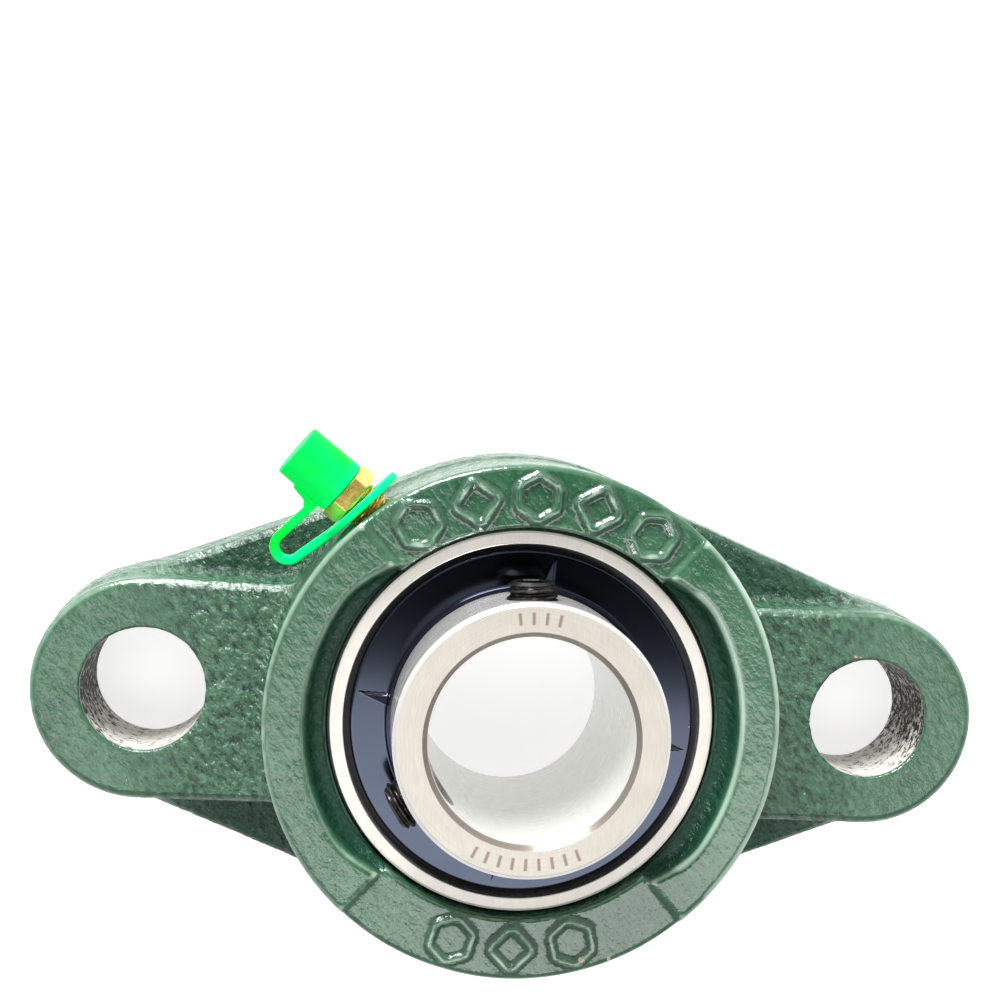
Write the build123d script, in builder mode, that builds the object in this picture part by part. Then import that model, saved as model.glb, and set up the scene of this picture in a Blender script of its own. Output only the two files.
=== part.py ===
from build123d import *
import os
from math import cos, pi, radians, sin, sqrt, tan

os.makedirs("parts", exist_ok=True)

# Two-bolt flange mount bearing for a 25.4 mm shaft. Millimetres, +Z up.
# The mounting face is on z = 0, the shaft runs along Z and the two bolt holes lie on X.

# ---------------------------------------------------------------- driving sizes
shaft_d = 25.4
seat_z = 16.0               # bearing centre above the mounting face

# Housing casting
bolt_spacing = 99.0
bolt_hole_r = 8.2
housing_h = 26.8            # hub face height
draft = 3.0                 # casting draft of web and pads, degrees
hub_base_r = 33.3
hub_draft = 0.6
web_h = 7.6
web_hub_r = 33.1
web_ear_r = 15.0
pad_h = 13.4
pad_r = 15.4
rim_round = 0.7
pad_round = 0.8
web_round = 0.8
bolt_hole_round = 0.3

# Spherical seat and openings
ring_r = 26.0               # sphere of the outer ring
seat_gap = 0.04
front_bore_r = 25.1
rear_bore_r = 25.0
slot_w = 17.8               # rear loading slots take the ring edge-on
slot_r = 26.15

# Hub face relief
crescent_r = 27.9
crescent_half = 40.0        # degrees either side of X
crescent_tip_r = 26.1
crescent_tip = 49.5         # degrees
crescent_floor_z = 24.0
crescent_slope = 20.0
sector_half = 41.5          # label sectors, degrees either side of Y
sector_drop = 0.4
mark_r = 28.9
mark_size = 3.1
mark_stroke = 0.95
mark_round = 0.5
mark_h = 0.55
mark_sink = 0.1             # into the face, so the solids join
mark_step = 15.5            # degrees between marks

# Insert: rings, balls and cage
ring_w = 17.0
ring_chamfer = 0.3
ball_n = 9
ball_r = 7.938 / 2
pitch_r = 19.25
race_gap = 0.03
race_r = 4.06               # groove radius, a little over the ball's
collar_r = 16.95
outer_land_r = 21.3
inner_back = 14.3           # inner ring behind the bearing centre
inner_front = 19.8
bore_chamfer = 0.7
collar_chamfer = 0.5
grease_groove_z = 4.5       # from the bearing centre
grease_hole_r = 0.7

# Seals and slingers, heights from the bearing centre
seal_bore_r = 22.9
seal_shoulder = 5.4
core_low = 5.6
core_t = 0.5
core_outer_r = 23.2
core_inner_r = 18.4
lip_r = 17.02
lip_coat = 0.4              # rubber over the core
lip_land = 1.8              # width of the coated band
lip_step = 0.1
lip_edge = 0.15
slinger_r = 22.1
slinger_low = 7.5
slinger_t = 0.6
slinger_hub_r = 17.6
dimple_turn = 82.0          # first dimple, degrees from X
dimple_root_r = 17.3
dimple_len = 4.1
dimple_h = 0.45
dimple_wide = 1.1           # gentle flank, on the counter-clockwise side
dimple_narrow = 0.45        # steep flank
dimple_sink = 0.2           # into the disc, so the solids join
slinger_lip = 0.5           # depth of the turned-down rim and height of the rolled hub
slinger_rim_t = 0.4
slinger_round = 0.2         # bevels on the rim and the rolled hub

# Cage
cage_in_r = 17.6
cage_out_r = 20.8
cage_t = 0.7
pocket_gap = 0.12
rivet_r = 0.6
rivet_head_r = 1.05
rivet_head_h = 0.45

# Set screws, 1/4-28
screw_z = 30.8
screw_major_r = 3.14
screw_minor_r = 2.72
screw_pitch = 0.907
screw_len = 5.5
screw_proud = 2.0           # outer end beyond the collar
screw_hole_r = 3.2
screw_cup_r = 1.4
screw_cup_deep = 0.7
socket_flat = 3.175
screw_angles = {"set_screw_top": 92.0, "set_screw_side": 212.0}

# Grease fitting: its axis leaves the hub wall a little off the radial line
fitting_angle = 129.4       # where the axis meets the hub wall
fitting_heading = 142.2     # which way it points, in plan
fitting_rise = 4.5          # upward tilt
fitting_z = 19.5
thread_r = 2.95
thread_minor_r = 2.55
thread_pitch = 0.907
thread_deep = 5.0
port_gap = 0.02
port_deep = 5.5
hex_low = 2.35
hex_flat = 7.0
hex_top = 4.6
hex_chamfer = 0.3
head_r = 3.2
head_neck_r = 2.35
head_shoulder = 0.4         # step from hexagon to neck
neck_len = 1.8              # heights above the hexagon: neck, then the widest band
head_low = 3.0
head_high = 4.2
head_nose = 0.7             # flat round the mouth
mouth_len = 0.3
head_end = 11.0
valve_r = 0.75              # mouth of the fitting
check_ball_r = 1.0
ball_play = 0.03
chamber_r = 1.15
channel_r = 0.9
chamber_low = 5.8
spring_wire_r = 0.13
spring_coil_r = 0.8
spring_turns = 5

# Cap moulding
cap_rim_r = 3.72
cap_top_r = 3.58
cap_in_r = 3.26
cap_low = 4.68
cap_len = 7.6
cap_top_t = 0.9
tether_heading = 136.0
tether_rise = -1.0          # the loose ring hangs a little
tether_out = 1.28
tether_r = 5.95
tether_hole_r = 3.35
tether_t = 1.0
strap_t = 1.2
strap_w = 2.6
strap_loop_r = 1.8
strap_loop_x = 10.4
strap_leg_low = 0.7
strap_end_x = 5.6
strap_gap = 0.02            # between the strap's end and the lug
lug_out = 3.4               # lug height above the strap leg
lug_start = 0.15            # inside the cap's wall
lug_thick = 0.5
lug_flare = 1.1

# ---------------------------------------------------------------- derived values
ear_x = bolt_spacing / 2
bore_r = shaft_d / 2
ring_half = ring_w / 2
ring_face_r = sqrt(ring_r**2 - ring_half**2)


def flat(angle, rise=0.0):
    """Unit vector at a heading in plan, tilted up by rise, both in degrees."""
    level = cos(radians(rise))
    return Vector(level * cos(radians(angle)), level * sin(radians(angle)), sin(radians(rise)))


def axis_plane(origin, heading, rise):
    """Plane whose Z leaves along the heading and whose X is level."""
    return Plane(origin=origin, x_dir=flat(heading + 90), z_dir=flat(heading, rise))


def section_of(plane):
    """Plane through a plane's own Z axis: X is radial and Y runs along that axis."""
    return Plane(origin=plane.origin, x_dir=plane.x_dir, z_dir=-plane.y_dir)


def thread_points(major, minor, start, end, pitch):
    """Zigzag of parallel thread ridges from start to end along the axis."""
    count = int((end - start) / pitch)
    points = [(minor, start)]
    for turn in range(count):
        points.append((major, start + (turn + 0.5) * pitch))
        points.append((minor, start + (turn + 1) * pitch))
    points.append((minor, end))
    return points


def write(piece, name):
    """Label a finished piece and write its STEP file."""
    piece.label = name
    export_step(piece, "parts/" + name + ".step")


hub_wall_r = hub_base_r - fitting_z * tan(radians(hub_draft))
fitting_origin = hub_wall_r * flat(fitting_angle) + Vector(0, 0, fitting_z)
fitting = axis_plane(fitting_origin, fitting_heading, fitting_rise)
fitting_axis = Axis(fitting.origin, fitting.z_dir)
fitting_section = section_of(fitting)
tether_origin = fitting.from_local_coords((0, 0, tether_out))
tether = axis_plane(tether_origin, tether_heading, tether_rise)
tether_section = section_of(tether)
insert = Plane.XY.offset(seat_z)
insert_section = section_of(insert)


# ---------------------------------------------------------------- housing
def mark_outline(sides, turn):
    """Closed raised outline: a polygon ring with rounded corners."""
    with BuildSketch() as outline:
        RegularPolygon(mark_size, sides, rotation=turn)
        fillet(outline.vertices(), mark_round)
        offset(amount=-mark_stroke, kind=Kind.INTERSECTION, mode=Mode.SUBTRACT)
    return outline.sketch


hexagon_mark = mark_outline(6, 30)
diamond_mark = mark_outline(4, 0)

with BuildPart() as housing:
    # web plate between the hub and the ears
    with BuildSketch():
        Circle(web_hub_r)
        with Locations((ear_x, 0), (-ear_x, 0)):
            Circle(web_ear_r)
        make_hull()
    extrude(amount=web_h, taper=draft)
    fillet(housing.faces().sort_by(Axis.Z)[-1].edges(), web_round)
    # raised bar that carries both bolt pads
    with BuildSketch():
        SlotCenterToCenter(bolt_spacing, 2 * pad_r)
    extrude(amount=pad_h, taper=draft)
    fillet(housing.faces().sort_by(Axis.Z)[-1].edges(), pad_round)
    # hub
    with BuildSketch():
        Circle(hub_base_r)
    extrude(amount=housing_h, taper=hub_draft)
    fillet(housing.faces().sort_by(Axis.Z)[-1].edges(), rim_round)

    # label sectors, one each side of the bolt line
    with BuildSketch(Plane.XY.offset(housing_h)):
        with PolarLocations(0, 2, start_angle=90):
            with BuildLine():
                sweep_arc = CenterArc((0, 0), hub_base_r, -sector_half, 2 * sector_half)
                Line((0, 0), sweep_arc @ 0)
                Line((0, 0), sweep_arc @ 1)
            make_face()
    extrude(amount=-sector_drop, mode=Mode.SUBTRACT)

    # raised marks on the sectors: five in front, three behind
    for middle, count in ((90, 5), (270, 3)):
        for index in range(count):
            turn = middle + (index - (count - 1) / 2) * mark_step
            shape = hexagon_mark if index % 2 == 0 else diamond_mark
            place = Plane(origin=mark_r * flat(turn) + Vector(0, 0, housing_h - sector_drop - mark_sink))
            with BuildSketch(place.rotated((0, 0, turn - 90))):
                add(shape)
            extrude(amount=mark_sink + mark_h)

    # crescent recesses beside the bearing
    with BuildSketch(Plane.XY.offset(housing_h)):
        for middle in (0, 180):
            with BuildLine():
                low = CenterArc((0, 0), crescent_r, middle - crescent_half, 2 * crescent_half)
                tip_a = crescent_tip_r * flat(middle - crescent_tip)
                tip_b = crescent_tip_r * flat(middle + crescent_tip)
                Polyline(low @ 0, tip_a, (0, 0), tip_b, low @ 1)
            make_face()
    extrude(amount=crescent_floor_z - housing_h, taper=crescent_slope, mode=Mode.SUBTRACT)

    # spherical seat, its two mouths and the rear loading slots
    with Locations((0, 0, seat_z)):
        Sphere(ring_r + seat_gap, mode=Mode.SUBTRACT)
    with BuildSketch(Plane.XY.offset(seat_z)):
        Circle(front_bore_r)
    extrude(amount=housing_h, mode=Mode.SUBTRACT)
    with BuildSketch():
        Circle(rear_bore_r)
    extrude(amount=seat_z, mode=Mode.SUBTRACT)
    with BuildSketch():
        Circle(slot_r)
        Rectangle(3 * slot_r, slot_w, mode=Mode.INTERSECT)
    extrude(amount=seat_z, mode=Mode.SUBTRACT)

    # bolt holes
    with BuildSketch():
        with Locations((ear_x, 0), (-ear_x, 0)):
            Circle(bolt_hole_r)
    extrude(amount=housing_h, mode=Mode.SUBTRACT)
    hole_edges = housing.edges().filter_by(GeomType.CIRCLE)
    hole_edges = hole_edges.filter_by(lambda e: abs(e.radius - bolt_hole_r) < 0.01)
    fillet(hole_edges.group_by(Axis.Z)[-1], bolt_hole_round)

    # tapped grease port into the seat
    with BuildSketch(fitting.offset(tether_out)):
        Circle(thread_r + port_gap)
    extrude(amount=-tether_out - port_deep, mode=Mode.SUBTRACT)
    with BuildSketch(fitting):
        Circle(channel_r)
    extrude(amount=-2 * thread_deep, mode=Mode.SUBTRACT)
write(housing.part, "housing")


# ---------------------------------------------------------------- insert rings
with BuildPart() as outer_ring:
    with BuildSketch(insert_section):
        with BuildLine():
            crown = ThreePointArc((ring_face_r, -ring_half), (ring_r, 0), (ring_face_r, ring_half))
            Polyline(
                crown @ 1,
                (seal_bore_r, ring_half),
                (seal_bore_r, seal_shoulder),
                (outer_land_r, seal_shoulder),
                (outer_land_r, -seal_shoulder),
                (seal_bore_r, -seal_shoulder),
                (seal_bore_r, -ring_half),
                crown @ 0,
            )
        make_face()
        with Locations((pitch_r + ball_r + race_gap - race_r, 0)):
            Circle(race_r, mode=Mode.SUBTRACT)
        # snap grooves for the seal cores, and the grease groove round the outside
        with Locations((seal_bore_r, core_low + core_t / 2), (seal_bore_r, -core_low - core_t / 2)):
            Rectangle(2 * (core_outer_r - seal_bore_r), core_t, mode=Mode.SUBTRACT)
        with Locations((ring_r, grease_groove_z)):
            Rectangle(2, 2 * grease_hole_r + 0.2, mode=Mode.SUBTRACT)
    revolve(axis=Axis.Z)
    face_edges = outer_ring.faces().filter_by(Axis.Z).sort_by(Axis.Z)
    chamfer(face_edges[0].edges() + face_edges[-1].edges(), ring_chamfer)
    with BuildSketch(Plane.YZ):
        with Locations((0, seat_z + grease_groove_z)):
            Circle(grease_hole_r)
    extrude(amount=2 * ring_r, both=True, mode=Mode.SUBTRACT)
write(outer_ring.part, "outer_ring")

with BuildPart() as inner_ring:
    with BuildSketch(insert_section):
        with BuildLine():
            Polyline(
                (bore_r, -inner_back),
                (collar_r, -inner_back),
                (collar_r, inner_front),
                (bore_r, inner_front),
                close=True,
            )
        make_face()
        chamfer(vertices().group_by(Axis.X)[0], bore_chamfer)
        chamfer(vertices().group_by(Axis.X)[-1], collar_chamfer)
        with Locations((pitch_r - ball_r - race_gap + race_r, 0)):
            Circle(race_r, mode=Mode.SUBTRACT)
    revolve(axis=Axis.Z)
    # tapped set-screw holes through the collar wall
    for angle in screw_angles.values():
        with BuildSketch(axis_plane((0, 0, screw_z), angle, 0)):
            Circle(screw_hole_r)
        extrude(amount=2 * collar_r, mode=Mode.SUBTRACT)
write(inner_ring.part, "inner_ring")

# ---------------------------------------------------------------- balls and cage
for number in range(ball_n):
    with BuildPart() as ball:
        with Locations(pitch_r * flat(number * 360 / ball_n) + Vector(0, 0, seat_z)):
            Sphere(ball_r)
    write(ball.part, "ball_" + str(number + 1))


def cage_half(side):
    """One pressed ribbon: flat webs between half-spherical pockets. side is +1 or -1."""
    pocket_r = ball_r + pocket_gap
    with BuildPart() as half:
        with BuildSketch(insert):
            Circle(cage_out_r)
            Circle(cage_in_r, mode=Mode.SUBTRACT)
        extrude(amount=side * cage_t)
        with Locations(insert):
            with PolarLocations(pitch_r, ball_n):
                Sphere(pocket_r + cage_t)
        with BuildSketch(insert):
            Circle(cage_out_r)
            Circle(cage_in_r, mode=Mode.SUBTRACT)
        extrude(amount=side * 2 * ball_r, mode=Mode.INTERSECT)
        with Locations(insert):
            with PolarLocations(pitch_r, ball_n):
                Sphere(pocket_r, mode=Mode.SUBTRACT)
        with BuildSketch(insert):
            with PolarLocations(pitch_r, ball_n, start_angle=180 / ball_n):
                Circle(rivet_r)
        extrude(amount=side * cage_t, mode=Mode.SUBTRACT)
    return half.part


write(cage_half(1), "cage_front_half")
write(cage_half(-1), "cage_rear_half")

with BuildPart() as cage_rivets:
    with BuildSketch(insert.offset(-cage_t)):
        with PolarLocations(pitch_r, ball_n, start_angle=180 / ball_n):
            Circle(rivet_r)
    extrude(amount=2 * cage_t)
    for side in (1, -1):
        with BuildSketch(insert.offset(side * cage_t)):
            with PolarLocations(pitch_r, ball_n, start_angle=180 / ball_n):
                Circle(rivet_head_r)
        extrude(amount=side * rivet_head_h, taper=25)
write(cage_rivets.part, "cage_rivets")


# ---------------------------------------------------------------- seals and slingers
def ring_of(points, side):
    """Solid ring from a radial section given from the bearing centre, on one side of it."""
    with BuildPart() as ring:
        with BuildSketch(insert_section):
            with BuildLine():
                Polyline([(r, side * z) for r, z in points], close=True)
            make_face()
        revolve(axis=Axis.Z)
    return ring.part


core_high = core_low + core_t
core_points = [
    (core_inner_r, core_low),
    (core_outer_r, core_low),
    (core_outer_r, core_high),
    (core_inner_r, core_high),
]
lip_points = [
    (core_inner_r, core_low),
    (core_inner_r, core_high),
    (core_inner_r + lip_land, core_high),
    (core_inner_r + lip_land, core_high + lip_coat),
    (core_inner_r - lip_coat, core_high + lip_coat),
    (lip_r, core_high + lip_step),
    (lip_r, core_high - lip_edge),
    (core_inner_r - lip_coat - lip_step, core_low),
]
slinger_high = slinger_low + slinger_t
slinger_points = [
    (collar_r, slinger_low - slinger_t),
    (collar_r + slinger_lip, slinger_low - slinger_t),
    (collar_r + slinger_lip, slinger_low),
    (slinger_r - slinger_rim_t, slinger_low),
    (slinger_r - slinger_rim_t, slinger_low - slinger_lip),
    (slinger_r, slinger_low - slinger_lip),
    (slinger_r, slinger_high - slinger_round),
    (slinger_r - slinger_round, slinger_high),
    (slinger_hub_r, slinger_high),
    (slinger_hub_r - slinger_round, slinger_high + slinger_lip),
    (collar_r, slinger_high + slinger_lip),
]


def slinger(side):
    """Pressed disc with a rolled hub and four drive dimples on the outer face."""
    with BuildPart() as disc:
        add(ring_of(slinger_points, side))
        for quarter in range(4):
            heading = dimple_turn + 90 * quarter
            root = Plane(
                origin=dimple_root_r * flat(heading) + Vector(0, 0, seat_z + side * slinger_high),
                x_dir=flat(heading + 90),
                z_dir=flat(heading),
            )
            with BuildSketch(root):
                Polygon(
                    (dimple_wide, -side * dimple_sink),
                    (-dimple_narrow, -side * dimple_sink),
                    (-dimple_narrow / 2, side * dimple_h),
                    align=None,
                )
            with BuildSketch(root.offset(dimple_len)):
                Polygon(
                    (dimple_wide / 18, -side * dimple_sink),
                    (-dimple_narrow / 8, -side * dimple_sink),
                    (-dimple_narrow / 16, 0),
                    align=None,
                )
            loft()
    return disc.part


for side, place in ((1, "front"), (-1, "rear")):
    write(ring_of(core_points, side), "seal_" + place + "_core")
    write(ring_of(lip_points, side), "seal_" + place + "_lip")
    write(slinger(side), "slinger_" + place)

# ---------------------------------------------------------------- set screws
for name, angle in screw_angles.items():
    screw_end = collar_r + screw_proud
    screw_tip = screw_end - screw_len
    screw_plane = axis_plane((0, 0, screw_z), angle, 0)
    with BuildPart() as screw:
        with BuildSketch(section_of(screw_plane)):
            with BuildLine():
                ridges = thread_points(screw_major_r, screw_minor_r, screw_tip, screw_end, screw_pitch)
                Polyline([(0, screw_tip)] + ridges + [(0, screw_end)], close=True)
            make_face()
        revolve(axis=Axis(screw_plane.origin, screw_plane.z_dir))
        # cup point and hexagon socket
        with BuildSketch(screw_plane.offset(screw_tip)):
            Circle(screw_cup_r)
        extrude(amount=screw_cup_deep, taper=45, mode=Mode.SUBTRACT)
        with BuildSketch(screw_plane.offset(screw_end)):
            RegularPolygon(socket_flat / 2, 6, major_radius=False)
        extrude(amount=-screw_len / 2, mode=Mode.SUBTRACT)
    write(screw.part, name)

# ---------------------------------------------------------------- grease fitting
with BuildPart() as nipple:
    with BuildSketch(fitting_section):
        with BuildLine():
            ridges = thread_points(thread_r, thread_minor_r, -thread_deep, hex_low, thread_pitch)
            Polyline(
                [(0, -thread_deep)]
                + ridges
                + [
                    (head_neck_r + head_shoulder, hex_low),
                    (head_neck_r + head_shoulder, hex_top),
                    (head_neck_r, hex_top + head_shoulder),
                    (head_neck_r, hex_top + neck_len),
                    (head_r, hex_top + head_low),
                    (head_r, hex_top + head_high),
                    (valve_r + head_nose, head_end),
                    (0, head_end),
                ],
                close=True,
            )
        make_face()
    revolve(axis=fitting_axis)
    with BuildSketch(fitting.offset(hex_low)):
        RegularPolygon(hex_flat / 2, 6, major_radius=False, rotation=4)
    extrude(amount=hex_top - hex_low)
    hex_round = nipple.edges().filter_by(lambda e: abs(e.length - hex_flat / sqrt(3)) < 0.01)
    chamfer(hex_round, hex_chamfer)
    # grease channel, valve chamber and mouth
    with BuildSketch(fitting.offset(-thread_deep)):
        Circle(channel_r)
    extrude(amount=thread_deep + chamber_low, mode=Mode.SUBTRACT)
    with BuildSketch(fitting.offset(chamber_low)):
        Circle(chamber_r)
    extrude(amount=head_end - mouth_len - chamber_low, mode=Mode.SUBTRACT)
    with BuildSketch(fitting.offset(head_end)):
        Circle(valve_r)
    extrude(amount=-2 * mouth_len, mode=Mode.SUBTRACT)
write(nipple.part, "grease_nipple_body")

check_ball_out = head_end - mouth_len - sqrt(check_ball_r**2 - valve_r**2) - ball_play
with BuildPart() as check_ball:
    with Locations(fitting.offset(check_ball_out)):
        Sphere(check_ball_r)
write(check_ball.part, "grease_check_ball")

spring_base = chamber_low + spring_wire_r
spring_len = check_ball_out - check_ball_r - 2 * spring_wire_r - chamber_low
with BuildPart() as spring:
    with BuildLine() as coil:
        Helix(
            spring_len / spring_turns,
            spring_len,
            spring_coil_r,
            center=fitting.from_local_coords((0, 0, spring_base)),
            direction=fitting.z_dir,
        )
    with BuildSketch(Plane(origin=coil.line @ 0, z_dir=coil.line % 0)):
        Circle(spring_wire_r)
    sweep(path=coil.line, is_frenet=True)
write(spring.part, "grease_check_spring")

# ---------------------------------------------------------------- cap moulding
cap_high = cap_low + cap_len
leg_out = strap_leg_low + 2 * strap_loop_r      # outer strap leg, from the tether ring
leg_low = leg_out - strap_t / 2
leg_high = leg_out + strap_t / 2
lug_high = leg_out + lug_out
lug_wall = cap_in_r + lug_start
lean = tan(radians(fitting_heading - tether_heading))
with BuildPart() as cap:
    with BuildSketch(fitting_section):
        with BuildLine():
            Polyline(
                (cap_in_r, cap_low),
                (cap_rim_r, cap_low),
                (cap_top_r, cap_high),
                (0, cap_high),
                (0, cap_high - cap_top_t),
                (cap_in_r, cap_high - cap_top_t),
                close=True,
            )
        make_face()
    revolve(axis=fitting_axis)
    # lug that the strap runs into
    with BuildSketch(tether_section):
        with BuildLine():
            Polyline(
                (lug_wall + lean * leg_low, leg_low),
                (strap_end_x, leg_low),
                (strap_end_x, leg_high),
                (lug_wall + lean * leg_high + lug_flare, leg_high + lug_flare),
                (lug_wall + lean * lug_high + lug_thick, lug_high),
                (lug_wall + lean * lug_high, lug_high),
                close=True,
            )
        make_face()
    extrude(amount=strap_w / 2, both=True)
write(cap.part, "grease_cap")

with BuildPart() as strap:
    with BuildSketch(tether):
        Circle(tether_r)
        Circle(tether_hole_r, mode=Mode.SUBTRACT)
    extrude(amount=tether_t / 2, both=True)
    with BuildSketch(tether_section):
        with BuildLine():
            lower = Line((tether_r - 1, 0), (strap_loop_x, strap_leg_low))
            loop = ThreePointArc(
                lower @ 1,
                (strap_loop_x + strap_loop_r, strap_leg_low + strap_loop_r),
                (strap_loop_x, leg_out),
            )
            Line(loop @ 1, (strap_end_x + strap_t / 2 + strap_gap, leg_out))
            offset(amount=strap_t / 2, side=Side.BOTH, kind=Kind.INTERSECTION)
        make_face()
    extrude(amount=strap_w / 2, both=True)
write(strap.part, "cap_strap")
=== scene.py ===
"""Looks of a two-bolt flange mount bearing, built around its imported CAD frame."""

import math

import bmesh
import bpy
import numpy as np
from mathutils import Matrix, Vector


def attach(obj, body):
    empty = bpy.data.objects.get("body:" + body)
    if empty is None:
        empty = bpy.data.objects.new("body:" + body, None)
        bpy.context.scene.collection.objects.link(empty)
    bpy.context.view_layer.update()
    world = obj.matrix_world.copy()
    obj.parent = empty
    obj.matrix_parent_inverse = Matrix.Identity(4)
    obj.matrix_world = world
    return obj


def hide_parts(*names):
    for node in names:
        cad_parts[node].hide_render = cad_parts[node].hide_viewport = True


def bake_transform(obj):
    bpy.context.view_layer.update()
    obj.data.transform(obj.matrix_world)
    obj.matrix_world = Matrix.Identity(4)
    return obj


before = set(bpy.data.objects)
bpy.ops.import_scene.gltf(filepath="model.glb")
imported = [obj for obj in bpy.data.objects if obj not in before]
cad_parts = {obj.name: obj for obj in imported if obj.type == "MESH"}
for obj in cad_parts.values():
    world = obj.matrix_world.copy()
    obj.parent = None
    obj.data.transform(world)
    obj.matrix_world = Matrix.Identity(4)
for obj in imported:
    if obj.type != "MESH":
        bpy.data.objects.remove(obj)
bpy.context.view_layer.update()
scene = bpy.context.scene
MM = 0.001

# ---------------------------------------------------------------- sizes in mm, as in the CAD model
SEAT_Z = 16.0
EAR_X = 49.5
HUB_BASE_R = 33.3
HUB_H = 26.8
WEB_HUB_R = 33.1
WEB_EAR_R = 15.0
WEB_H = 7.6
PAD_R = 15.4
PAD_H = 13.4
DRAFT = math.tan(math.radians(3.0))
HUB_DRAFT = math.tan(math.radians(0.6))
BOLT_R = 8.2
RING_R = 26.0
FRONT_BORE_R = 25.1
REAR_BORE_R = 25.0
SLOT_HALF = 8.9
SLOT_R = 26.15
COLLAR_R = 16.95
BORE_R = 12.7
SLINGER_R = 22.1
FITTING_ANGLE = 129.4
FITTING_HEADING = 142.2
FITTING_RISE = 4.5
FITTING_Z = 19.5


def heading(angle, rise=0.0):
    """Unit vector at a heading in plan, tilted up by rise, both in degrees."""
    level = math.cos(math.radians(rise))
    a = math.radians(angle)
    return Vector((level * math.cos(a), level * math.sin(a), math.sin(math.radians(rise))))


def frame_at(origin, direction, level):
    """Matrix whose Z is direction and whose X is the level vector."""
    z = direction.normalized()
    x = level.normalized()
    y = z.cross(x)
    return Matrix.Translation(origin) @ Matrix((x, y, z)).transposed().to_4x4()


wall_r = HUB_BASE_R - FITTING_Z * HUB_DRAFT
fitting_origin = wall_r * heading(FITTING_ANGLE) + Vector((0, 0, FITTING_Z))
fitting_axis = heading(FITTING_HEADING, FITTING_RISE)
fitting = frame_at(fitting_origin, fitting_axis, heading(FITTING_HEADING + 90))
insert = Matrix.Translation((0, 0, SEAT_Z))


# ---------------------------------------------------------------- camera, light and floor
def aim(obj, target, up):
    """Point an object's -Z at target, with its Y towards up."""
    back = (obj.location - target).normalized()
    right = up.cross(back).normalized()
    turn = Matrix((right, back.cross(right), back)).transposed()
    obj.rotation_euler = turn.to_euler()


camera = bpy.data.objects.new("camera", bpy.data.cameras.new("camera"))
scene.collection.objects.link(camera)
camera.location = Vector((-22.4, 39.19, 207.89)) * MM
aim(camera, Vector((-2.31, 26.81, 0)) * MM, Vector((-0.0604, 0.9982, 0)))
camera.data.lens = 52.57
camera.data.sensor_width = 36
camera.data.clip_start = 0.01
scene.camera = camera
scene.view_settings.view_transform = "Standard"


def area_light(name, place, target, size, power):
    """Elliptical lamp. The size is its width and its height."""
    data = bpy.data.lights.new(name, "AREA")
    data.shape = "ELLIPSE"
    data.size, data.size_y = size
    data.energy = power
    obj = bpy.data.objects.new(name, data)
    scene.collection.objects.link(obj)
    obj.location = place
    aim(obj, Vector(target), Vector((0, 1, 0.01)))


area_light("key", (-0.25, 0.8, 0.34), (0, 0, 0.01), (0.4, 0.4), 16.0)
area_light("overhead", (-0.05, -0.33, 0.94), (0, 0, 0.01), (1.7, 0.32), 4.0)

DARK_PATCH = (0.1, 0.04, 0.99)
PATCH_CORE = 0.2
PATCH_EDGE = 0.38


def world_light():
    """White surroundings, brightest behind the object, with a dark patch nearly overhead."""
    world = bpy.data.worlds.new("studio")
    world.use_nodes = True
    scene.world = world
    tree = world.node_tree
    tree.nodes.clear()
    out = tree.nodes.new("ShaderNodeOutputWorld")
    back = tree.nodes.new("ShaderNodeBackground")
    coords = tree.nodes.new("ShaderNodeTexCoord")
    apart = tree.nodes.new("ShaderNodeVectorMath")
    apart.operation = "DISTANCE"
    apart.inputs[1].default_value = Vector(DARK_PATCH).normalized()
    patch = tree.nodes.new("ShaderNodeMapRange")
    patch.interpolation_type = "SMOOTHSTEP"
    patch.inputs["From Min"].default_value = PATCH_CORE
    patch.inputs["From Max"].default_value = PATCH_EDGE
    patch.inputs["To Min"].default_value = 0.004
    split = tree.nodes.new("ShaderNodeSeparateXYZ")
    sky = tree.nodes.new("ShaderNodeMapRange")
    sky.inputs["From Min"].default_value = -0.8
    sky.inputs["From Max"].default_value = 0.8
    sky.inputs["To Min"].default_value = 0.45
    sky.inputs["To Max"].default_value = 0.9
    both = tree.nodes.new("ShaderNodeMath")
    both.operation = "MULTIPLY"
    tree.links.new(coords.outputs["Generated"], apart.inputs[0])
    tree.links.new(coords.outputs["Generated"], split.inputs["Vector"])
    tree.links.new(apart.outputs["Value"], patch.inputs["Value"])
    tree.links.new(split.outputs["Y"], sky.inputs["Value"])
    tree.links.new(patch.outputs["Result"], both.inputs[0])
    tree.links.new(sky.outputs["Result"], both.inputs[1])
    tree.links.new(both.outputs["Value"], back.inputs["Strength"])
    back.inputs["Color"].default_value = (1, 1, 1, 1)
    tree.links.new(back.outputs["Background"], out.inputs["Surface"])


world_light()


# ---------------------------------------------------------------- mesh helpers
def link(name, mesh):
    obj = bpy.data.objects.new(name, mesh)
    scene.collection.objects.link(obj)
    return obj


def mesh_from(name, points, faces, smooth_angle=35):
    """Object from points in mm and faces, smooth shaded up to an angle."""
    mesh = bpy.data.meshes.new(name)
    mesh.from_pydata([Vector(p) * MM for p in points], [], faces)
    mesh.validate()
    mesh.shade_smooth()
    if smooth_angle:
        mesh.set_sharp_from_angle(angle=math.radians(smooth_angle))
    return link(name, mesh)


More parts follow.
